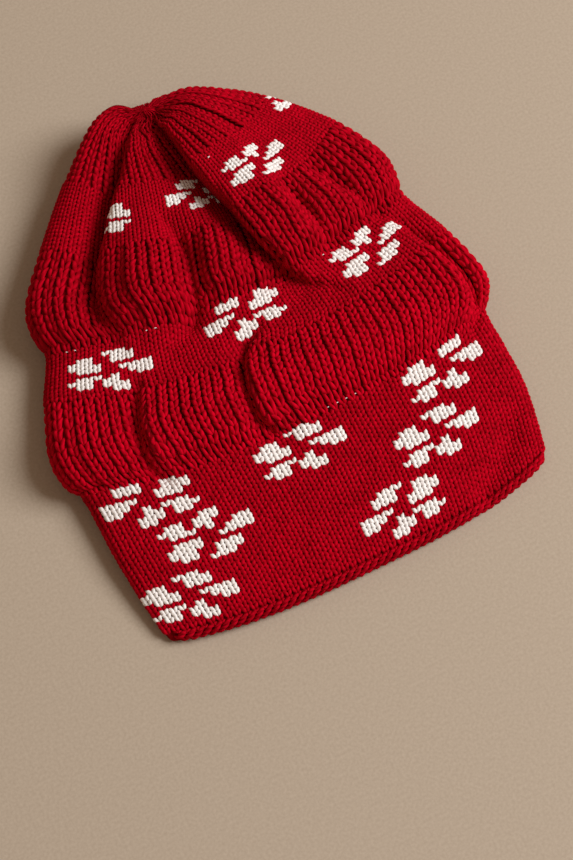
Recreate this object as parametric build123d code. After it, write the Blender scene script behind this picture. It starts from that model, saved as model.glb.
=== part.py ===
from build123d import *

import math
import os

# Slouchy knit beanie, lying flat on one side as it is laid down after wear. Millimetres.
# X runs across the brim, +Y from the brim to the gathered crown, +Z up off the surface.
# The origin is at the middle of the footprint, on the surface that the beanie rests on.

# Driving dimensions
LENGTH = 292.0            # brim edge to crown gather, laid flat
FABRIC = 3.2              # thickness of one layer of the knit
HEM_THICKNESS = 5.0       # thickness of the turned hem, which is double
MOUTH_GAP = 6.0           # clear height of the head opening as it lies
STITCH_WIDTH = 4.95       # one plain stitch, across the beanie
ROW_HEIGHT = 2.7          # one plain row, along the beanie
GATHER_YARN = 6.0         # thickness of the bundle of yarn that closes the crown

BRIM_Y = -LENGTH / 2

# Stations along the beanie: distance from the brim, sideways shift of the middle,
# half width and height of the outside.
STATIONS = {
    "brim": (0.0, -2.0, 115.0, MOUTH_GAP + 2 * HEM_THICKNESS),
    "hem_top": (8.0, -2.0, 117.0, 17.0),
    "brim_jersey_middle": (48.0, -1.5, 123.0, 25.0),
    "lower_rib_start": (88.0, -1.0, 127.0, 33.0),
    "lower_rib_middle": (113.0, 0.0, 131.0, 41.0),
    "lower_rib_end": (138.0, 2.0, 126.0, 40.0),
    "middle_jersey_middle": (153.0, 3.0, 121.0, 41.0),
    "middle_jersey_end": (167.0, 4.0, 118.0, 43.0),
    "upper_rib_middle": (189.0, 7.0, 114.0, 49.0),
    "upper_rib_end": (212.0, 10.0, 104.0, 48.0),
    "crown_jersey_middle": (227.0, 13.0, 94.0, 47.0),
    "crown_jersey_end": (242.0, 15.0, 82.0, 46.0),
    "cap_shoulder": (268.0, 12.0, 56.0, 42.0),
    "gather": (LENGTH - GATHER_YARN, 7.0, 22.0, 31.0),
}

# Every band of one kind of stitch is a tube through two or three of the stations.
BANDS = {
    "turned_hem": ("brim", "hem_top"),
    "brim_jersey_band": ("hem_top", "brim_jersey_middle", "lower_rib_start"),
    "lower_rib_band": ("lower_rib_start", "lower_rib_middle", "lower_rib_end"),
    "middle_jersey_band": ("lower_rib_end", "middle_jersey_middle", "middle_jersey_end"),
    "upper_rib_band": ("middle_jersey_end", "upper_rib_middle", "upper_rib_end"),
    "crown_jersey_band": ("upper_rib_end", "crown_jersey_middle", "crown_jersey_end"),
    "crown_rib_cap": ("crown_jersey_end", "cap_shoulder", "gather"),
}

# The flowers are knitted in with a second, off-white yarn. For each: the band that holds it,
# its middle across the beanie and along it from the brim, and how it is turned.
FLOWERS = (
    ("brim_jersey_band", -90.0, 25.0, "plain"),
    ("brim_jersey_band", -66.0, 49.0, "flipped"),
    ("brim_jersey_band", -87.0, 73.0, "mirrored"),
    ("brim_jersey_band", 29.0, 23.0, "mirrored"),
    ("brim_jersey_band", 61.0, 46.0, "plain"),
    ("brim_jersey_band", 81.0, 73.0, "plain"),
    ("brim_jersey_band", -8.0, 65.0, "plain"),
    ("middle_jersey_band", -76.0, 152.0, "plain"),
    ("middle_jersey_band", -2.0, 152.0, "mirrored"),
    ("middle_jersey_band", 76.0, 152.0, "flipped"),
    ("crown_jersey_band", 60.0, 227.0, "flipped"),
    ("crown_jersey_band", 8.0, 227.0, "mirrored"),
    ("crown_jersey_band", -44.0, 227.0, "plain"),
)

# Petals of one flower: middle from the flower's middle, then width and height,
# in stitches across and rows along.
PETALS = (
    ((-2.9, 2.1), (2.8, 3.0)),
    ((1.1, 3.0), (2.6, 2.4)),
    ((3.4, -0.3), (2.6, 2.4)),
    ((-2.9, -2.3), (2.6, 2.2)),
    ((0.4, -3.0), (2.0, 2.8)),
)
PETAL_SIDES = 8
TURNS = {"plain": (1, 1), "mirrored": (-1, 1), "flipped": (1, -1)}

SECTION_POINTS = 24       # corners of one cross-section
SIDE_FULLNESS = 0.72      # under 1 makes the cross-section squarer across
TOP_FULLNESS = 0.92       # under 1 makes it squarer in height
WIDEST_AT = 0.36          # share of the height where the side stands furthest out
UNDERSIDE_TRIM = 2.5      # depth of the rounded underside that is trimmed flat


def power(value, exponent):
    """Signed power, for the superellipse."""
    return math.copysign(abs(value) ** exponent, value)


def cross_section(station, inset, hollow):
    """Corners of the cross-section at a station. The outside one is flat underneath."""
    from_brim, shift, half_width, height = STATIONS[station]
    widest = height * WIDEST_AT
    upper = height - inset - widest
    lower = widest - inset if hollow else widest + UNDERSIDE_TRIM
    corners = []
    for step in range(SECTION_POINTS):
        angle = 2 * math.pi * (step + 0.5) / SECTION_POINTS
        across = (half_width - inset) * power(math.cos(angle), SIDE_FULLNESS)
        rise = power(math.sin(angle), TOP_FULLNESS)
        z = widest + rise * (upper if rise > 0 else lower)
        corners.append(Vector(shift + across, BRIM_Y + from_brim, max(z, 0.0)))
    return corners


def skin(rings):
    """Triangular faces between one ring of corners and the next."""
    faces = []
    for near, far in zip(rings, rings[1:]):
        for first in range(SECTION_POINTS):
            second = (first + 1) % SECTION_POINTS
            faces.append(Face(Wire.make_polygon([near[first], near[second], far[second]])))
            faces.append(Face(Wire.make_polygon([near[first], far[second], far[first]])))
    return faces


def tube(stations, thickness):
    """A band of fabric through the stations, hollow and open at both ends."""
    outside = [cross_section(name, 0, False) for name in stations]
    inside = [cross_section(name, thickness, True) for name in stations]
    faces = skin(outside) + skin(inside)
    for end in (0, -1):
        faces.append(Face(Wire.make_polygon(outside[end]), [Wire.make_polygon(inside[end])]))
    return Solid(Shell(faces))


def petal_prisms(band, middle_x, middle_from_brim, turn):
    """Upright eight-sided prisms through the upper layer, one for each petal of a flower."""
    flip_x, flip_y = TURNS[turn]
    band_height = STATIONS[BANDS[band][1]][3]
    prisms = []
    for (across, along), (width, height) in PETALS:
        x = middle_x + flip_x * across * STITCH_WIDTH
        y = BRIM_Y + middle_from_brim + flip_y * along * ROW_HEIGHT
        corners = []
        for side in range(PETAL_SIDES):
            angle = 2 * math.pi * (side + 0.5) / PETAL_SIDES
            across_petal = width * STITCH_WIDTH / 2 * math.cos(angle)
            along_petal = height * ROW_HEIGHT / 2 * math.sin(angle)
            corners.append((x + across_petal, y + along_petal, WIDEST_AT * band_height))
        prisms.append(extrude(Face(Wire.make_polygon(corners)), 80, dir=(0, 0, 1)))
    return prisms


def gather_yarn():
    """The bundle of yarn that draws the last stitches together and closes the crown."""
    from_brim, shift, half_width, height = STATIONS["gather"]
    plane = Plane(origin=(shift, BRIM_Y + from_brim, height * WIDEST_AT + 2), z_dir=(0, 1, 0))
    return extrude(plane * Ellipse(height / 3, half_width - 4), GATHER_YARN)


def write(name, solids):
    export_step(Compound(children=list(solids)) if len(solids) > 1 else solids[0], f"parts/{name}.step")


os.makedirs("parts", exist_ok=True)

bands = {}
for name, stations in BANDS.items():
    thickness = HEM_THICKNESS if name == "turned_hem" else FABRIC
    bands[name] = tube(stations, thickness)

prisms_in = {name: [] for name in BANDS}
for number, (band, x, from_brim, turn) in enumerate(FLOWERS, start=1):
    prisms = petal_prisms(band, x, from_brim, turn)
    petals = []
    for prism in prisms:
        petals.extend((bands[band] & prism).solids())
    write(f"flower_{number:02d}", petals)
    prisms_in[band].extend(prisms)

for name, band in bands.items():
    knitted = band.cut(*prisms_in[name]) if prisms_in[name] else band
    write(name, knitted.solids())

write("gather_yarn", [gather_yarn()])
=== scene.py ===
"""The looks of a slouchy knit beanie that lies flat: every stitch of it is a loop of yarn.

The fabric is first a smooth surface (rows of points from the brim to the gathered crown, with the
lanterns, creases and the overlapping fold of the slouch). Each band is then divided into rows and
columns of stitches, and every stitch becomes two plump legs of yarn that stand on that surface.
"""

import math

import bpy
import numpy as np
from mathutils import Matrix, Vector


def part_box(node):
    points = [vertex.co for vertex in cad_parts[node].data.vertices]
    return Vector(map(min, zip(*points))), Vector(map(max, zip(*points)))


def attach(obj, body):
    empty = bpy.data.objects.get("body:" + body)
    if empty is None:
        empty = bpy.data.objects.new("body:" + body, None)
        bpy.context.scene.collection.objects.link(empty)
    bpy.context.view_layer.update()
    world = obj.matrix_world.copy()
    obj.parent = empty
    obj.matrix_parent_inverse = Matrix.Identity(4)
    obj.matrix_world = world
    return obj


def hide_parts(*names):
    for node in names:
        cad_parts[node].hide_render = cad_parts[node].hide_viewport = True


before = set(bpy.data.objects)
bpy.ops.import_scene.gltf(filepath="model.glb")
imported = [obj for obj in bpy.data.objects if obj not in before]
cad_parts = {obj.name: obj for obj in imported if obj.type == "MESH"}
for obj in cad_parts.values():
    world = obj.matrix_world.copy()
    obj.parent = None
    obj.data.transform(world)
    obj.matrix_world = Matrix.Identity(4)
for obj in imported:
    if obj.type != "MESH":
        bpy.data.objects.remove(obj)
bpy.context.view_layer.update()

# ---------------------------------------------------------------- sizes, in millimetres
MM = 0.001
BRIM_LOW, BRIM_HIGH = (np.array(corner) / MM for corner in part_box("turned_hem"))
BRIM_Y = BRIM_LOW[1]                          # the brim's edge in the frame
MIDDLE_X = (BRIM_LOW[0] + BRIM_HIGH[0]) / 2   # the brim's middle in the frame
UNDERSIDE = 1.6                               # the lower layer's fabric lies this high
WIDEST_AT = 0.36                              # share of the height where the side stands out most
SIDE_FULLNESS = 0.74                          # under 1 makes a cross-section squarer across
TOP_FULLNESS = 0.86                           # under 1 makes a cross-section squarer in height
ROW_BOW_POWER = 2.5                           # how a row of stitches bends up towards the sides
BRIM_BOW_POWER = 3.0                          # the same at the brim, which turns up nearer its ends
PLEATS = 12                                   # gathers of the crown that run into the drawn yarn
PLEAT_DEPTH = 5.0
PLEATED_ROWS = 1.9                            # the pleats start this many of ROWS before the gather
GATHER_FADE = 1.2                             # over this many of ROWS folds fade out and pleats fade in
FOLD_FADE = 1.6                               # folds fade out at the sides: larger is more suddenly
LEAST_THICKNESS = 4                           # the upper layer stands at least this high in the middle
FLANK_SHARE = 0.45                            # share of a steep flank's height that adds columns
DENSE = 480                                   # points across one layer before it is divided
PLAIN = {"width": 5.0, "height": 2.62}        # one plain stitch
RIBBED = {"width": 6.1, "height": 4.0}        # one stitch of the ribbed bands
FINE = {"width": 4.6, "height": 2.3}          # one plain stitch of the crown
FINE_RIBBED = {"width": 5.0, "height": 3.2}   # one stitch of the ribbed cap
RIB_UNEVENNESS = 0.45                         # how unevenly the ribs stand up

# Rows of the fabric from the brim to the gather. X is from the middle of the brim, Y from its edge.
# For each: the middle of the upper layer (X, Y), its left and right ends, the height of the upper
# layer, and how far the lower layer's middle is set back and how high it lies.
ROWS = {
    "brim": ((0, -9), (-117, 4), (113, 5), 2.0, 0, UNDERSIDE),
    "hem_top": ((0, -4.5), (-120, 8), (117, 10), 9.0, 0, UNDERSIDE),
    "brim_jersey": ((0, 38), (-125, 50), (125, 50), 19, 0, UNDERSIDE),
    "lower_rib_low": ((0, 78), (-127, 97), (126, 96), 23, 0, UNDERSIDE),
    "lower_rib_swell": ((0, 88), (-133, 104), (131, 104), 33, 0, UNDERSIDE),
    "lower_rib": ((0, 105), (-135, 123), (136, 118), 38, 0, UNDERSIDE),
    "lower_rib_high": ((1, 126), (-124, 155), (130, 152), 31, 0, UNDERSIDE),
    "middle_jersey": ((5, 160), (-111, 181), (118, 183), 32, 0, UNDERSIDE),
    "upper_rib_swell": ((6, 169), (-113, 195), (119, 196), 42, 3, UNDERSIDE),
    "upper_rib": ((6, 184), (-109, 213), (118, 212), 45, 6, UNDERSIDE),
    "upper_rib_high": ((6, 205), (-88, 241), (104, 242), 41, 14, UNDERSIDE),
    "crown_jersey": ((6, 243), (-57, 276), (75, 275), 40, 26, UNDERSIDE),
    "crown": ((5, 267), (-29, 299), (45, 290), 42, 34, 16),
    "crown_top": ((4, 281), (-11, 305), (26, 297), 37, 18, 24),
    "gather": ((4, 290), (1, 293), (7, 292), 32, 2, 30),
}
ROW_NAMES = list(ROWS)

# Bands of one kind of stitch, between two of the rows.
BANDS = {
    "brim_jersey": {"node": "brim_jersey_band", "stitch": PLAIN,
                    "rows": ("hem_top", "lower_rib_low")},
    "lower_rib": {"node": "lower_rib_band", "stitch": RIBBED,
                  "rows": ("lower_rib_low", "lower_rib_high")},
    "middle_jersey": {"node": "middle_jersey_band", "stitch": PLAIN,
                      "rows": ("lower_rib_high", "middle_jersey")},
    "upper_rib": {"node": "upper_rib_band", "stitch": RIBBED,
                  "rows": ("middle_jersey", "upper_rib_high")},
    "crown_jersey": {"node": "crown_jersey_band", "stitch": FINE,
                     "rows": ("upper_rib_high", "crown_jersey")},
    "crown_rib": {"node": "crown_rib_cap", "stitch": FINE_RIBBED,
                  "rows": ("crown_jersey", "gather")},
}

# Creases, laps and ridges of the upper layer. A line runs through points (X, Y, strength). East of it
# the fabric stands up by "east", west of it by "west", each fading over its "reach"; below zero it
# sinks. "lap" is how far the east side leans over the west one.
FOLDS = (
    {"name": "slouch_lap",
     "line": ((7, 285, 0.2), (13, 277, 0.5), (18, 261, 0.8), (21.5, 248, 1), (25, 232, 1),
              (30, 214, 1), (33, 196, 1), (34.5, 182, 0.9), (38, 168, 0.65), (43, 156, 0.35),
              (50, 147, 0.1)),
     "east": (8, 26), "west": (-20, 22), "lap": 16},
    {"name": "slouch_roll",
     "line": ((24, 256, 0.5), (33, 236, 0.9), (40, 210, 1), (46, 187, 1), (52, 170, 0.5)),
     "east": (5, 10), "west": (5, 7), "lap": 0},
    {"name": "recessed_lantern",
     "line": ((3, 208, 0.3), (1, 192, 1), (-6, 173, 0.8)),
     "east": (6, 12), "west": (6, 11), "lap": 0},
    {"name": "west_hollow",
     "line": ((-10, 279, 0.4), (-16, 270, 0.8), (-24, 258, 1), (-35, 246, 1), (-50, 226, 1),
              (-60, 212, 1), (-66, 198, 1), (-69, 184, 0.8), (-69, 174, 0.2)),
     "east": (-3, 8), "west": (-23, 14), "lap": 4},
    {"name": "middle_lantern",
     "line": ((-36, 218, 0.3), (-46, 192, 1), (-53, 174, 0.9)),
     "east": (9, 14), "west": (9, 12), "lap": 0},
    {"name": "middle_lantern_edge",
     "line": ((-22, 212, 0.6), (-22, 193, 1), (-27, 174, 1), (-35, 162, 0.8), (-42, 157, 0.3)),
     "east": (-13, 14), "west": (-3, 4), "lap": -5},
    {"name": "west_lantern_lap",
     "line": ((-68, 140, 0.1), (-73, 130, 0.6), (-79, 114, 1), (-83, 97, 1), (-79, 86, 0.5),
              (-74, 79, 0)),
     "east": (3, 14), "west": (-12, 9), "lap": 4},
    {"name": "front_lantern_lap",
     "line": ((2, 134, 0.2), (-4, 127, 0.8), (-10, 115, 1), (-15, 101, 1), (-16, 90, 1),
              (-10, 82, 0.4), (-2, 78, 0)),
     "east": (1, 12), "west": (-13, 11), "lap": 9},
    {"name": "east_lantern_lap",
     "line": ((104, 158, 0.5), (112, 138, 1), (116, 120, 1), (115, 104, 1), (110, 92, 0.3)),
     "east": (-16, 9), "west": (4, 10), "lap": -6},
    {"name": "lap_crease",
     "line": ((52, 206, 0.4), (55, 192, 1), (61, 166, 0.5)),
     "east": (-12, 5), "west": (-12, 4), "lap": 0},
    {"name": "upper_east_crease",
     "line": ((73, 212, 0.5), (83, 195, 1), (95, 174, 0.5)),
     "east": (-11, 6), "west": (-11, 5), "lap": 0},
    {"name": "brim_dent",
     "line": ((108, 32, 0.4), (100, 21, 1), (87, 12, 1), (74, 4, 0.8)),
     "east": (-6, 8), "west": (-6, 8), "lap": 0},
)
FOLD_EDGE = 1.1            # half the width of the step between the two sides of a fold
LAP_MIDDLE = 3.0           # a lap leans most this far behind its edge
LAP_REACH = 4.5

# Flowers of off-white yarn: band, the middle's X and Y on the upper layer, the turn, and which columns
# of the chart are knitted there: a crease or the far side of the crown hides the rest of a flower.
WHOLE = (0, 10)
FLOWERS = (
    ("brim_jersey", -97, 19, "plain", WHOLE),
    ("brim_jersey", -70, 44, "flipped", WHOLE),
    ("brim_jersey", -96, 77, "mirrored", WHOLE),
    ("brim_jersey", 29, 13, "mirrored", WHOLE),
    ("brim_jersey", 65, 41, "plain", WHOLE),
    ("brim_jersey", 87, 75, "plain", WHOLE),
    ("brim_jersey", -7, 66, "plain", WHOLE),
    ("middle_jersey", -80, 154, "plain", WHOLE),
    ("middle_jersey", -1, 150, "mirrored", WHOLE),
    ("middle_jersey", 82, 157, "flipped", WHOLE),
    ("crown_jersey", 46, 227, "flipped", WHOLE),
    ("crown_jersey", 10, 230, "mirrored", (2, 10)),
    ("crown_jersey", -29, 229, "plain", (0, 4)),
    ("crown_jersey", 64, 275, "plain", (4, 10)),
)
PLAIN_KNIT_FLOWERS = (14,)        # flowers on the far side of the crown, which stand for no CAD node
FLOWER_CHART = (
    "....XXX...",
    ".XX..XXX..",
    "XXX..XXX..",
    "XXXX......",
    ".XXX..XXXX",
    ".......XXX",
    ".XXX.X..XX",
    "XXX.XX....",
    ".XX.XXX...",
    ".....XX...",
)

# Places where a thread of the off-white yarn peeks out: band, X and Y on the upper layer.
PEEKING_THREADS = (
    ("lower_rib", 14, 80),
    ("lower_rib", 21, 80),
    ("lower_rib", 27, 81),
    ("lower_rib", 33, 81),
    ("middle_jersey", -58, 167),
    ("middle_jersey", -53, 165),
    ("middle_jersey", -97, 184),
    ("middle_jersey", -93, 182),
    ("crown_jersey", 19, 236),
    ("middle_jersey", 50, 163),
)


# ---------------------------------------------------------------- the fabric's surface
def smooth_through(values, places):
    """Catmull-Rom curve through the values, read at places counted in values."""
    values = np.asarray(values, dtype=float)
    last = len(values) - 1
    first = np.clip(np.floor(places).astype(int), 0, last - 1)
    part = places - first
    before = values[np.maximum(first - 1, 0)]
    here, there = values[first], values[first + 1]
    after = values[np.minimum(first + 2, last)]
    slope_here, slope_there = (there - before) / 2, (after - here) / 2
    square, cube = part * part, part ** 3
    return (here * (2 * cube - 3 * square + 1) + slope_here * (cube - 2 * square + part)
            + there * (3 * square - 2 * cube) + slope_there * (cube - square))


def row_values(place, pick):
    """One measure of the rows, read at places counted in rows."""
    return smooth_through([pick(row) for row in ROWS.values()], place)


def signed_power(values, exponent):
    return np.sign(values) * np.abs(values) ** exponent


def fold_relief(x, y):
    """How far the folds lift each point of the upper layer, and how far they move it sideways."""
    lift, shift_x, shift_y = (np.zeros_like(x) for _ in range(3))
    for fold in FOLDS:
        nearest = np.full_like(x, 1e9)
        side, strength, normal_x, normal_y = (np.zeros_like(x) for _ in range(4))
        for (ax, ay, a_strength), (bx, by, b_strength) in zip(fold["line"], fold["line"][1:]):
            dx, dy = bx - ax, by - ay
            length = math.hypot(dx, dy)
            along = np.clip(((x - ax) * dx + (y - ay) * dy) / length ** 2, 0, 1)
            gap_x, gap_y = x - ax - along * dx, y - ay - along * dy
            gap = np.hypot(gap_x, gap_y)
            closer = gap < nearest
            nearest = np.where(closer, gap, nearest)
            strength = np.where(closer, a_strength + along * (b_strength - a_strength), strength)
            # The lines run towards the brim, so +X is on their left hand.
            side = np.where(closer, np.sign(dx * gap_y - dy * gap_x), side)
            normal_x = np.where(closer, -dy / length, normal_x)
            normal_y = np.where(closer, dx / length, normal_y)
        distance = nearest * side
        on_east = 0.5 * (1 + np.tanh(distance / FOLD_EDGE))
        east, east_reach = fold["east"]
        west, west_reach = fold["west"]
        lift += strength * on_east * east * np.exp(-(np.maximum(distance, 0) / east_reach) ** 2)
        lift += strength * (1 - on_east) * west * np.exp(-(np.minimum(distance, 0) / west_reach) ** 2)
        lean = strength * fold["lap"] * np.exp(-((distance - LAP_MIDDLE) / LAP_REACH) ** 2)
        shift_x -= lean * normal_x
        shift_y -= lean * normal_y
    return lift, shift_x, shift_y


def layer_points(place, upper):
    """Dense points across one layer of the fabric, one line of them for each place."""
    place = np.asarray(place, dtype=float)[:, None]
    middle_x = row_values(place, lambda row: row[0][0])
    middle_y = row_values(place, lambda row: row[0][1])
    left_x = row_values(place, lambda row: row[1][0])
    left_y = row_values(place, lambda row: row[1][1])
    right_x = row_values(place, lambda row: row[2][0])
    right_y = row_values(place, lambda row: row[2][1])
    height = row_values(place, lambda row: row[3])
    if not upper:
        middle_y = middle_y + row_values(place, lambda row: row[4])
    floor = row_values(place, lambda row: row[5])
    angle = np.linspace(math.pi, 0, DENSE)[None, :]
    across = signed_power(np.cos(angle), SIDE_FULLNESS)
    rise = np.abs(np.sin(angle)) ** TOP_FULLNESS
    end_x = np.where(across < 0, left_x, right_x)
    end_y = np.where(across < 0, left_y, right_y)
    centre_x = (left_x + right_x) / 2
    x = centre_x + across * np.abs(end_x - centre_x) + (middle_x - centre_x) * (1 - across ** 2)
    bow = np.interp(place, (1, 2), (BRIM_BOW_POWER, ROW_BOW_POWER))
    y = middle_y + (end_y - middle_y) * np.abs(across) ** bow
    widest = floor + (height - floor) * WIDEST_AT
    if not upper:
        return np.stack([x, y, widest - (widest - floor) * rise], axis=-1)
    z = widest + (height - widest) * rise
    lift, shift_x, shift_y = fold_relief(x, y)
    gather = len(ROWS) - 1
    fade = np.clip(rise * FOLD_FADE, 0, 1) * np.clip((gather - place) / GATHER_FADE, 0, 1)
    drawn = np.clip((place - (gather - PLEATED_ROWS)) / GATHER_FADE, 0, 1)
    z = z - PLEAT_DEPTH * drawn * (0.5 + 0.5 * np.cos(PLEATS * math.pi * (across + 1))) ** 2
    return np.stack([x + shift_x * fade, y + shift_y * fade,
                     np.maximum(z + lift * fade, floor + LEAST_THICKNESS * rise)], axis=-1)


def divided(points, columns):
    """Each line of points divided into columns of about equal width of fabric.

    Steep flanks count for less than their length, as a knit stretches over a bulge: that keeps the
    columns of stitches running straight from one row to the next.
    """
    steps = np.linalg.norm(np.diff(points, axis=1) * np.array([1, 1, FLANK_SHARE]), axis=2)
    length = np.concatenate([np.zeros((len(points), 1)), np.cumsum(steps, axis=1)], axis=1)
    lines = []
    for line, reach in zip(points, length):
        wanted = np.linspace(0, reach[-1], columns + 1)
        lines.append(np.stack([np.interp(wanted, reach, line[:, axis]) for axis in range(3)], axis=1))
    return np.array(lines)


def band_lattice(band, upper):
    """Corners of the stitches of one band on one layer, rows by columns, in the frame."""
    first, last = (ROW_NAMES.index(name) for name in BANDS[band]["rows"])
    stitch = BANDS[band]["stitch"]
    length = row_values(np.array([float(last)]), lambda row: row[0][1]) - ROWS[ROW_NAMES[first]][0][1]
    rows = max(2, round(float(length[0]) / stitch["height"]))
    probe = layer_points([first, (first + last) / 2, last], upper)
    reach = np.linalg.norm(np.diff(probe, axis=1) * np.array([1, 1, FLANK_SHARE]), axis=2).sum(axis=1)
    columns = round(float(reach[:2].mean()) / stitch["width"])
    fine = np.linspace(first, last, 80)
    along = row_values(fine, lambda row: row[0][1])
    place = np.interp(np.linspace(along[0], along[-1], rows + 1), along, fine)
    lattice = divided(layer_points(place, upper), columns)
    lattice += np.array([MIDDLE_X, BRIM_Y, 0])
    return lattice


# ---------------------------------------------------------------- one stitch
SIDES = 6                   # of the cross-section of the yarn
PLUMP_LIMITS = (0.3, 1.15)  # how thin and how thick a narrow or a wide column makes the yarn
SIZE_VARIES = 0.05          # how much the legs differ in size, in place across and in place along
SWAY_VARIES = 0.02
SLIDE_VARIES = 0.04
# One leg of a stitch, from where it comes up through the stitch below to where it dives under the
# stitch above: across (in columns), along (in rows), out of the fabric, half width, half thickness.
PLAIN_LEG = (
    (0.04, -0.36, -0.60, 0.08, 0.30),
    (0.11, -0.08, 0.25, 0.20, 0.75),
    (0.215, 0.30, 0.65, 0.24, 0.92),
    (0.305, 0.70, 0.65, 0.23, 0.88),
    (0.385, 1.06, 0.20, 0.17, 0.66),
    (0.435, 1.34, -0.60, 0.075, 0.35),
)
RIB_LEG = (
    (0.045, -0.32, -0.80, 0.08, 0.40),
    (0.10, -0.10, 0.35, 0.16, 0.85),
    (0.19, 0.25, 0.90, 0.205, 1.10),
    (0.26, 0.62, 0.85, 0.20, 1.05),
    (0.31, 0.94, 0.25, 0.155, 0.82),
    (0.325, 1.20, -0.80, 0.08, 0.45),
)


def stitch_frames(lattice):
    """For every cell: its middle, its column and row vectors and its outward normal."""
    a, b = lattice[:-1, :-1], lattice[:-1, 1:]
    c, d = lattice[1:, :-1], lattice[1:, 1:]
    middle = (a + b + c + d) / 4
    column = (b + d - a - c) / 2
    row = (c + d - a - b) / 2
    normal = np.cross(column, row)
    normal /= np.maximum(np.linalg.norm(normal, axis=-1, keepdims=True), 1e-9)
    return middle, column, row, normal


def yarn_legs(cells, leg, thickness, usual_width, seed, sides=(-1, 1)):
    """Vertices, faces and UVs of the legs of the stitches in cells, one leg on each of the sides.

    A leg is a tube of yarn. Both its ends lie under the fabric, so they have no caps.
    """
    middle, column, row, normal = cells
    count = len(middle)
    chance = np.random.default_rng(seed)
    width = np.linalg.norm(column, axis=1)
    plump = thickness * np.clip(width / usual_width, *PLUMP_LIMITS)
    corner = 2 * math.pi * (np.arange(SIDES) + 0.5) / SIDES
    vertices = []
    for side in sides:
        size = chance.normal(1.0, SIZE_VARIES, count)[:, None]
        sway = chance.normal(0.0, SWAY_VARIES, count)[:, None]
        slide = chance.normal(0.0, SLIDE_VARIES, count)[:, None]
        centres = np.array([middle + column * (side * across + sway) + row * (along - 0.5 + slide)
                            + normal * (out * plump)[:, None] for across, along, out, _, _ in leg])
        ahead = np.gradient(centres, axis=0)
        across_leg = np.cross(ahead, normal)
        across_leg /= np.maximum(np.linalg.norm(across_leg, axis=-1, keepdims=True), 1e-9)
        rings = []
        for centre, sideways, (_, _, _, half_width, half_thick) in zip(centres, across_leg, leg):
            spread = sideways * width[:, None] * half_width * size
            lift = normal * (half_thick * plump)[:, None] * size
            ring = (centre[:, None, :] + spread[:, None, :] * np.cos(corner)[None, :, None]
                    + lift[:, None, :] * np.sin(corner)[None, :, None])
            rings.append(ring)
        vertices.append(np.stack(rings, axis=1))
    vertices = np.stack(vertices, axis=1)
    per_leg = len(leg) * SIDES
    faces, uvs = [], []
    for ring in range(len(leg) - 1):
        for corner_number in range(SIDES):
            following = (corner_number + 1) % SIDES
            near, far = ring * SIDES, (ring + 1) * SIDES
            faces.append((near + corner_number, near + following, far + following, far + corner_number))
            low, high = ring / (len(leg) - 1), (ring + 1) / (len(leg) - 1)
            start, end = corner_number / SIDES, (corner_number + 1) / SIDES
            uvs.append(((low, start), (low, end), (high, end), (high, start)))
    faces = np.array(faces)[None, :, :] + (np.arange(count * len(sides)) * per_leg)[:, None, None]
    uvs = np.tile(np.array(uvs)[None], (count * len(sides), 1, 1, 1))
    # Each leg starts its ply at another place, so the twist doesn't line up.
    uvs[..., 0] += chance.random(count * len(sides))[:, None, None]
    return vertices.reshape(-1, 3), faces.reshape(-1, 4), uvs.reshape(-1, 2)


def mesh_piece(name, vertices, faces, material, uvs=None):
    """A smooth mesh object from points in millimetres."""
    mesh = bpy.data.meshes.new(name)
    mesh.vertices.add(len(vertices))
    vertices = np.array(vertices, dtype=float)
    vertices[:, 2] = np.maximum(vertices[:, 2], 0)     # what would be under the table lies on it
    mesh.vertices.foreach_set("co", (vertices * MM).astype(np.float32).ravel())
    sides = faces.shape[1]
    mesh.loops.add(faces.size)
    mesh.loops.foreach_set("vertex_index", faces.astype(np.int32).ravel())
    mesh.polygons.add(len(faces))
    mesh.polygons.foreach_set("loop_start", np.arange(0, faces.size, sides, dtype=np.int32))
    mesh.polygons.foreach_set("use_smooth", np.ones(len(faces), dtype=bool))
    if uvs is not None:
        layer = mesh.uv_layers.new(name="yarn")
        layer.data.foreach_set("uv", uvs.astype(np.float32).ravel())
    mesh.update(calc_edges=True)
    mesh.validate()
    piece = bpy.data.objects.new(name, mesh)
    bpy.context.collection.objects.link(piece)
    piece.data.materials.append(material)
    return piece


# ---------------------------------------------------------------- materials
PLY_SHARE, FIBRE_SHARE = 0.35, 0.65    # of the colour's and the relief's unevenness; in the colour, the low parts of the relief are painted shade
DYE_CONTRAST = 0.5


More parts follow.
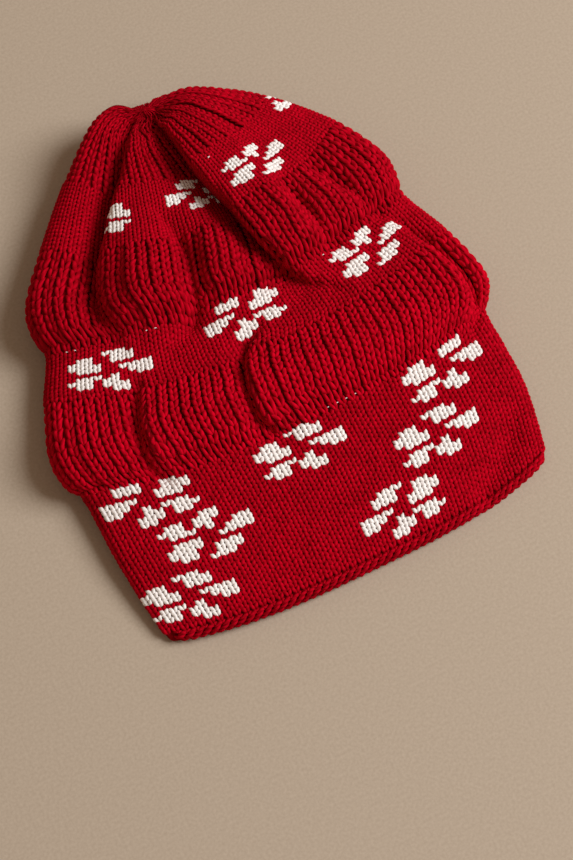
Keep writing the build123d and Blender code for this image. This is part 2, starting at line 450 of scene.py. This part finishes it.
def yarn_material(name, light, dark, sheen, fibre_depth):
    """Plied yarn: twisted strands and fine fibres as bumps, and uneven dye, with a soft halo. The
    colour also follows the bumps, darker where they are low: painted shade in the ply's grooves.
    """
    material = bpy.data.materials.new(name)
    material.use_nodes = True
    nodes, links = material.node_tree.nodes, material.node_tree.links
    shader = nodes["Principled BSDF"]
    shader.inputs["Roughness"].default_value = 0.88
    shader.inputs["Specular IOR Level"].default_value = 0.04
    shader.inputs["Sheen Weight"].default_value = sheen
    shader.inputs["Sheen Roughness"].default_value = 0.45
    shader.inputs["Sheen Tint"].default_value = (*light, 1)

    place = nodes.new("ShaderNodeTexCoord")
    uv = nodes.new("ShaderNodeUVMap")
    uv.uv_map = "yarn"
    ply = nodes.new("ShaderNodeTexWave")
    ply.wave_type = "BANDS"
    ply.bands_direction = "DIAGONAL"
    ply.inputs["Scale"].default_value = 1.1
    ply.inputs["Distortion"].default_value = 1.5
    ply.inputs["Detail"].default_value = 2.0
    links.new(uv.outputs["UV"], ply.inputs["Vector"])

    fibre = nodes.new("ShaderNodeTexNoise")
    fibre.inputs["Scale"].default_value = 2600
    fibre.inputs["Detail"].default_value = 3
    links.new(place.outputs["Object"], fibre.inputs["Vector"])
    dye = nodes.new("ShaderNodeTexNoise")
    dye.inputs["Scale"].default_value = 90
    dye.inputs["Detail"].default_value = 2
    links.new(place.outputs["Object"], dye.inputs["Vector"])

    fibre_part = nodes.new("ShaderNodeMath")
    fibre_part.operation = "MULTIPLY"
    fibre_part.inputs[1].default_value = FIBRE_SHARE
    links.new(fibre.outputs["Fac"], fibre_part.inputs[0])
    relief = nodes.new("ShaderNodeMath")
    relief.operation = "MULTIPLY_ADD"
    relief.inputs[1].default_value = PLY_SHARE
    links.new(ply.outputs["Fac"], relief.inputs[0])
    links.new(fibre_part.outputs[0], relief.inputs[2])
    dye_part = nodes.new("ShaderNodeMath")
    dye_part.operation = "MULTIPLY_ADD"
    dye_part.inputs[1].default_value = DYE_CONTRAST
    dye_part.inputs[2].default_value = -DYE_CONTRAST / 2
    links.new(dye.outputs["Fac"], dye_part.inputs[0])
    # the colour's lightness: the relief paints shade into the ply's grooves and among the fibres, and
    # the dye varies at random
    lightness = nodes.new("ShaderNodeMath")
    lightness.operation = "ADD"
    links.new(relief.outputs[0], lightness.inputs[0])
    links.new(dye_part.outputs[0], lightness.inputs[1])

    ramp = nodes.new("ShaderNodeValToRGB")
    ramp.color_ramp.elements[0].position = 0.2
    ramp.color_ramp.elements[0].color = (*dark, 1)
    ramp.color_ramp.elements[1].position = 0.75
    ramp.color_ramp.elements[1].color = (*light, 1)
    links.new(lightness.outputs[0], ramp.inputs["Fac"])
    links.new(ramp.outputs["Color"], shader.inputs["Base Color"])

    bump = nodes.new("ShaderNodeBump")
    bump.inputs["Strength"].default_value = 0.7
    bump.inputs["Distance"].default_value = fibre_depth * MM
    links.new(relief.outputs[0], bump.inputs["Height"])
    links.new(bump.outputs["Normal"], shader.inputs["Normal"])
    return material


def table_material():
    """The plain pale surface that the beanie lies on, with a faint grain."""
    material = bpy.data.materials.new("table")
    material.use_nodes = True
    nodes, links = material.node_tree.nodes, material.node_tree.links
    shader = nodes["Principled BSDF"]
    shader.inputs["Roughness"].default_value = 0.75
    place = nodes.new("ShaderNodeTexCoord")
    grain = nodes.new("ShaderNodeTexNoise")
    grain.inputs["Scale"].default_value = 600
    grain.inputs["Detail"].default_value = 4
    links.new(place.outputs["Object"], grain.inputs["Vector"])
    ramp = nodes.new("ShaderNodeValToRGB")
    ramp.color_ramp.elements[0].position = 0.3
    ramp.color_ramp.elements[0].color = (0.405, 0.334, 0.258, 1)
    ramp.color_ramp.elements[1].position = 0.7
    ramp.color_ramp.elements[1].color = (0.465, 0.39, 0.306, 1)
    links.new(grain.outputs["Fac"], ramp.inputs["Fac"])
    links.new(ramp.outputs["Color"], shader.inputs["Base Color"])
    bump = nodes.new("ShaderNodeBump")
    bump.inputs["Strength"].default_value = 0.15
    bump.inputs["Distance"].default_value = 0.3 * MM
    links.new(grain.outputs["Fac"], bump.inputs["Height"])
    links.new(bump.outputs["Normal"], shader.inputs["Normal"])
    return material


RED_YARN = yarn_material("red_yarn", (0.51, 0.0002, 0.0130), (0.26, 0.0, 0.0045), 0.02, 0.35)
WHITE_YARN = yarn_material("white_yarn", (0.95, 0.93, 0.93), (0.79, 0.76, 0.75), 0.1, 0.35)
# a lit copy of the red yarn, lighter than it: painted light for the lower ribbed band
LIT_RED_YARN = yarn_material("red_yarn_painted_light", (0.60, 0.0003, 0.0160), (0.32, 0.0, 0.0060), 0.02, 0.35)
# a darker copy of the red yarn for the ground fabric: painted shade between the stitches
SHADED_GROUND_YARN = yarn_material("ground_yarn_painted_shade", (0.32, 0.0, 0.006), (0.17, 0.0, 0.003), 0.0, 0.3)
SHADED_GROUND_YARN.node_tree.nodes["UV Map"].uv_map = ""     # the ground fabric has no UVs of its own


# ---------------------------------------------------------------- pieces
GROUND_COLUMNS = 150       # the ground fabric's faces across one layer
GROUND_ROWS = 230          # and its points from the brim to the gather
GROUND_START = 0.35        # it starts this far past the first of ROWS, inside the hem's roll
GROUND_END = 0.02          # and ends this far before the last one, inside the knot
GROUND_DROP = 0.5          # it lies this far under the stitches
GROUND_LEAST_HEIGHT = 0.3


def base_fabric():
    """The ground of the knit between the stitches, both layers in one skin, in a darker red: painted
    shade in the hollows between the stitches.
    """
    place = np.linspace(GROUND_START, len(ROWS) - 1 - GROUND_END, GROUND_ROWS)
    rings = []
    for upper in (True, False):
        lattice = divided(layer_points(place, upper), GROUND_COLUMNS)
        rings.append(lattice if upper else lattice[:, ::-1][:, 1:-1])
    ring = np.concatenate(rings, axis=1)
    following = np.roll(ring, -1, axis=1) - np.roll(ring, 1, axis=1)
    along = np.gradient(ring, axis=0)
    normal = np.cross(following, along)
    normal /= np.maximum(np.linalg.norm(normal, axis=-1, keepdims=True), 1e-9)
    ring = ring - normal * GROUND_DROP
    ring[..., 2] = np.maximum(ring[..., 2], GROUND_LEAST_HEIGHT)
    ring += np.array([MIDDLE_X, BRIM_Y, 0])
    rows, points = ring.shape[:2]
    number = np.arange(rows * points).reshape(rows, points)
    near, far = number[:-1], number[1:]
    faces = np.stack([near, np.roll(near, -1, axis=1), np.roll(far, -1, axis=1), far], axis=-1)
    return mesh_piece("ground_fabric", ring.reshape(-1, 3), faces.reshape(-1, 4), SHADED_GROUND_YARN)


def flower_cells(lattice, band):
    """Which stitches of a band belong to which flower: an array of flower numbers, 0 for none."""
    middle = stitch_frames(lattice)[0]
    owner = np.zeros(middle.shape[:2], dtype=int)
    size = len(FLOWER_CHART)
    for number, (flower_band, x, y, turn, shown) in enumerate(FLOWERS, start=1):
        if flower_band != band:
            continue
        goal = np.array([x + MIDDLE_X, y + BRIM_Y])
        gap = np.linalg.norm(middle[..., :2] - goal, axis=-1)
        row0, column0 = np.unravel_index(np.argmin(gap), gap.shape)
        for chart_row, line in enumerate(FLOWER_CHART):
            for chart_column in range(*shown):
                if line[chart_column] != "X":
                    continue
                up = size - 1 - chart_row if turn != "flipped" else chart_row
                over = size - 1 - chart_column if turn == "mirrored" else chart_column
                row, column = row0 + up - size // 2, column0 + over - size // 2
                if 0 <= row < owner.shape[0] and 0 <= column < owner.shape[1]:
                    owner[row, column] = number
    return owner


FLOWER_SEED_STEP = 100     # keeps the unevenness of a band and of its flowers apart
PAINTED_LIGHT_BAND = "lower_rib"   # this band is stretched over its bulges; its red is painted lighter, painted light that brightens its ribs


def knit_band(band, upper):
    """The stitches of one band on one layer: a red piece, and one piece for each flower."""
    lattice = band_lattice(band, upper)
    frames = stitch_frames(lattice)
    if not upper:
        frames = (*frames[:3], -frames[3])
    stitch = BANDS[band]["stitch"]
    ribbed = stitch in (RIBBED, FINE_RIBBED)
    leg, usual = (RIB_LEG, RIBBED) if ribbed else (PLAIN_LEG, PLAIN)
    if ribbed:
        columns = np.random.default_rng(len(band)).normal(0, RIB_UNEVENNESS, lattice.shape[1] - 1)
        frames = (frames[0] + frames[3] * columns[None, :, None], *frames[1:])
    owner = flower_cells(lattice, band) if upper else np.zeros(frames[0].shape[:2], dtype=int)
    layer = "upper" if upper else "lower"
    seed = ROW_NAMES.index(BANDS[band]["rows"][0]) * 2 + int(upper)
    made = {}
    for number in range(len(FLOWERS) + 1):
        chosen = owner == number
        if not chosen.any():
            continue
        cells = tuple(part[chosen] for part in frames)
        shapes = yarn_legs(cells, leg, stitch["width"] / usual["width"], stitch["width"],
                           seed + FLOWER_SEED_STEP * number)
        name = f"{band}_{layer}_stitches" if number == 0 else f"flower_{number:02d}_stitches"
        # the lower ribbed band gets the painted-light copy of the red yarn
        red = LIT_RED_YARN if band == PAINTED_LIGHT_BAND else RED_YARN
        material = WHITE_YARN if number else red
        made[number] = mesh_piece(name, *shapes[:2], material, shapes[2])
    return made


# The hem's roll, seen from the side: out from the edge of the fabric, and up, for each layer.
HEM_ROLLS = {
    "upper": ((0.7, -2.4), (2.2, 1.2), (3.8, 1.1), (4.8, -1.2), (4.8, -4.1)),
    "lower": ((0.0, -0.2), (2.2, -0.3), (4.2, 0.4), (4.5, 2.8)),
}
HEM_END_STITCHES = 3       # the roll narrows over this many stitches at each end
HEM_END_BLUNT = 0.4        # in stitches: above 0 the narrowed end isn't a point
HEM_SIDEWAYS = 0.5         # how far the roll turns with the brim's edge at its ends, 1 for wholly
ROLL_THICKNESS = 1.1       # of the yarn in the roll and in the crease, 1 for a plain stitch
CREASE_THICKNESS = 0.75
ROLL_SEED = 905
CREASE_SEED = 955
# The roll shows the wrong side of the knit: one bump of yarn for each stitch, lying along the hem.
PURL_BUMP = (
    (-0.66, -0.02, -0.60, 0.09, 0.40),
    (-0.36, 0.22, 0.40, 0.18, 0.85),
    (0.00, 0.50, 0.75, 0.215, 1.05),
    (0.36, 0.78, 0.40, 0.18, 0.85),
    (0.66, 1.02, -0.60, 0.09, 0.40),
)


def hem(layer):
    """The turned hem of one layer: the last rows of stitches, rolled over at the brim."""
    edge, inner = band_lattice("brim_jersey", layer == "upper")[:2]
    out = (edge - inner) * np.array([HEM_SIDEWAYS, 1, 0])
    out /= np.linalg.norm(out, axis=1, keepdims=True)
    number = np.arange(len(edge))
    from_end = np.minimum(number, number[::-1])[:, None]
    out *= np.sqrt(np.clip((from_end + HEM_END_BLUNT) / HEM_END_STITCHES, 0, 1))
    up = np.array([0, 0, 1.0])
    lattice = np.array([edge + out * away + up * rise for away, rise in HEM_ROLLS[layer]])[::-1]
    lattice[..., 2] = np.maximum(lattice[..., 2], UNDERSIDE)
    frames = stitch_frames(lattice)
    if layer == "lower":
        frames = (*frames[:3], -frames[3])
    frames[0][::2] += frames[1][::2] / 2     # every other row of bumps lies half a stitch along
    rolled = tuple(part[:-1, 1:-1].reshape(-1, 3) for part in frames)
    crease = tuple(part[-1, 1:-1] for part in frames)
    bumps = yarn_legs(rolled, PURL_BUMP, ROLL_THICKNESS, PLAIN["width"], ROLL_SEED, (1,))
    legs = yarn_legs(crease, PLAIN_LEG, CREASE_THICKNESS, PLAIN["width"], CREASE_SEED)
    return mesh_piece(f"turned_hem_{layer}", np.concatenate([bumps[0], legs[0]]),
                      np.concatenate([bumps[1], legs[1] + len(bumps[0])]), RED_YARN,
                      np.concatenate([bumps[2], legs[2]]))


def yarn_strand(points, radius):
    """Vertices and faces of one closed loop of yarn through the points."""
    points = np.asarray(points, dtype=float)
    ahead = np.roll(points, -1, axis=0) - np.roll(points, 1, axis=0)
    ahead /= np.linalg.norm(ahead, axis=1, keepdims=True)
    side = np.cross(ahead, np.array([0, 0, 1.0]))
    side /= np.linalg.norm(side, axis=1, keepdims=True)
    top = np.cross(side, ahead)
    corner = 2 * math.pi * np.arange(SIDES) / SIDES
    rings = (points[:, None, :] + radius * (side[:, None, :] * np.cos(corner)[None, :, None]
                                            + top[:, None, :] * np.sin(corner)[None, :, None]))
    number = np.arange(len(points) * SIDES).reshape(len(points), SIDES)
    near, far = number, np.roll(number, -1, axis=0)
    faces = np.stack([near, np.roll(near, -1, axis=1), np.roll(far, -1, axis=1), far], axis=-1)
    return rings.reshape(-1, 3), faces.reshape(-1, 4)


def strands_piece(name, loops, radius, material):
    """One piece of several closed loops of yarn."""
    vertices, faces = [], []
    for loop in loops:
        points, sides = yarn_strand(loop, radius)
        faces.append(sides + sum(len(earlier) for earlier in vertices))
        vertices.append(points)
    return mesh_piece(name, np.concatenate(vertices), np.concatenate(faces), material)


THREAD_RADIUS = 0.26
THREAD_HALF_LENGTH = (0.35, 0.6)
THREAD_HALF_HEIGHT = 0.35
THREAD_ABOVE_FABRIC = 1.3
THREAD_BESIDE_STITCH = 0.45    # in columns from the stitch's middle


def peeking_threads():
    """Short bits of off-white thread that lie between the red stitches."""
    chance = np.random.default_rng(11)
    lattices = {band: stitch_frames(band_lattice(band, True)) for band in BANDS}
    loops = []
    for band, x, y in PEEKING_THREADS:
        middle, column, _, normal = lattices[band]
        gap = np.linalg.norm(middle[..., :2] - np.array([x + MIDDLE_X, y + BRIM_Y]), axis=-1)
        cell = np.unravel_index(np.argmin(gap), gap.shape)
        along = column[cell] / np.linalg.norm(column[cell])
        centre = middle[cell] + normal[cell] * THREAD_ABOVE_FABRIC + column[cell] * THREAD_BESIDE_STITCH
        angle = np.linspace(0, 2 * math.pi, 8, endpoint=False)[:, None]
        half = chance.uniform(*THREAD_HALF_LENGTH)
        loops.append(centre + along * half * np.cos(angle)
                     + normal[cell] * THREAD_HALF_HEIGHT * np.sin(angle))
    return strands_piece("peeking_threads", loops, THREAD_RADIUS, WHITE_YARN)


KNOT_TURNS = 9
KNOT_YARN_RADIUS = 1.1
KNOT_FIRST_REACH = 1.4     # half the width of the top turn
KNOT_WIDENS = 0.42         # each turn is this much wider than the one above it
KNOT_SINKS = 0.34          # and lies this much lower
KNOT_DEPTH_SHARE = 0.7     # a turn's depth for its width
KNOT_WAVE = 0.5
KNOT_FROM_GATHER = (0, 1.2, -0.7)


def gathered_yarn():
    """The yarn drawn through the last loops of the crown, wound into a small tight knot."""
    (gather_x, gather_y), _, _, gather_z, _, _ = ROWS["gather"]
    middle = np.array([gather_x + MIDDLE_X, gather_y + BRIM_Y, gather_z]) + KNOT_FROM_GATHER
    chance = np.random.default_rng(7)
    loops = []
    for turn in range(KNOT_TURNS):
        angle = np.linspace(0, 2 * math.pi, 28, endpoint=False)
        reach = KNOT_FIRST_REACH + KNOT_WIDENS * turn
        wobble = chance.uniform(0, 2 * math.pi)
        ring = np.stack([reach * np.cos(angle), KNOT_DEPTH_SHARE * reach * np.sin(angle),
                         KNOT_WAVE * np.sin(2 * angle + wobble) - KNOT_SINKS * turn], axis=1)
        loops.append(middle + ring)
    return strands_piece("gathered_yarn", loops, KNOT_YARN_RADIUS, RED_YARN)


def show(piece, slot, *nodes):
    """The piece rides on the beanie's only body, and stands for the CAD nodes."""
    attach(piece, "root")
    if nodes:
        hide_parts(*nodes)


def build_beanie():
    ground = base_fabric()
    show(ground, "red_yarn")
    for band, facts in BANDS.items():
        for upper in (True, False):
            for number, piece in knit_band(band, upper).items():
                if number in PLAIN_KNIT_FLOWERS:
                    show(piece, "white_yarn")
                elif number:
                    show(piece, "white_yarn", f"flower_{number:02d}")
                elif upper:
                    show(piece, "red_yarn", facts["node"])
                else:
                    show(piece, "red_yarn")
    for layer in HEM_ROLLS:
        piece = hem(layer)
        show(piece, "red_yarn", "turned_hem")
    threads = peeking_threads()
    show(threads, "white_yarn")
    knot = gathered_yarn()
    show(knot, "red_yarn", "gather_yarn")


# ---------------------------------------------------------------- stage, light and camera
VIEW_TURN = math.radians(26.5)      # the camera looks this far clockwise of the beanie's +Y
VIEW_HEIGHT = math.radians(68)      # and from this far above the table
VIEW_DISTANCE = 1.20
AIM = Vector((-0.011, -0.0645, 0.014))
FLOOR_HALF = 6.0
WINDOW = {"place": (2.48, -0.86, 2.42), "size": 2.1, "power": 141, "colour": (1.0, 0.985, 0.97)}
ROOM_COLOUR = (1.0, 0.74, 0.54, 1)
ROOM_STRENGTH = 0.31


def stage():
    mesh = bpy.data.meshes.new("table")
    corners = [(x * FLOOR_HALF, y * FLOOR_HALF, 0) for x, y in ((-1, -1), (1, -1), (1, 1), (-1, 1))]
    mesh.from_pydata(corners, [], [(0, 1, 2, 3)])
    floor = bpy.data.objects.new("table", mesh)
    bpy.context.collection.objects.link(floor)
    mesh.materials.append(table_material())


def area_light(name, place, size, power, colour):
    light = bpy.data.lights.new(name, "AREA")
    light.shape = "DISK"
    light.size = size
    light.energy = power
    light.color = colour
    lamp = bpy.data.objects.new(name, light)
    lamp.location = place
    lamp.rotation_euler = (-Vector(place)).to_track_quat("-Z", "Y").to_euler()
    bpy.context.collection.objects.link(lamp)


def lights():
    area_light("window", **WINDOW)
    world = bpy.data.worlds.new("room")
    world.use_nodes = True
    background = world.node_tree.nodes["Background"]
    background.inputs["Color"].default_value = ROOM_COLOUR
    background.inputs["Strength"].default_value = ROOM_STRENGTH
    bpy.context.scene.world = world
    bpy.context.scene.view_settings.view_transform = "Standard"


def camera():
    data = bpy.data.cameras.new("camera")
    data.sensor_fit = "VERTICAL"
    data.sensor_height = 36
    data.lens = 90
    eye = bpy.data.objects.new("camera", data)
    level = VIEW_DISTANCE * math.cos(VIEW_HEIGHT)
    eye.location = AIM + Vector((-level * math.sin(VIEW_TURN), -level * math.cos(VIEW_TURN),
                                 VIEW_DISTANCE * math.sin(VIEW_HEIGHT)))
    eye.rotation_euler = (AIM - eye.location).to_track_quat("-Z", "Y").to_euler()
    bpy.context.collection.objects.link(eye)
    bpy.context.scene.camera = eye


camera()
stage()
lights()
build_beanie()
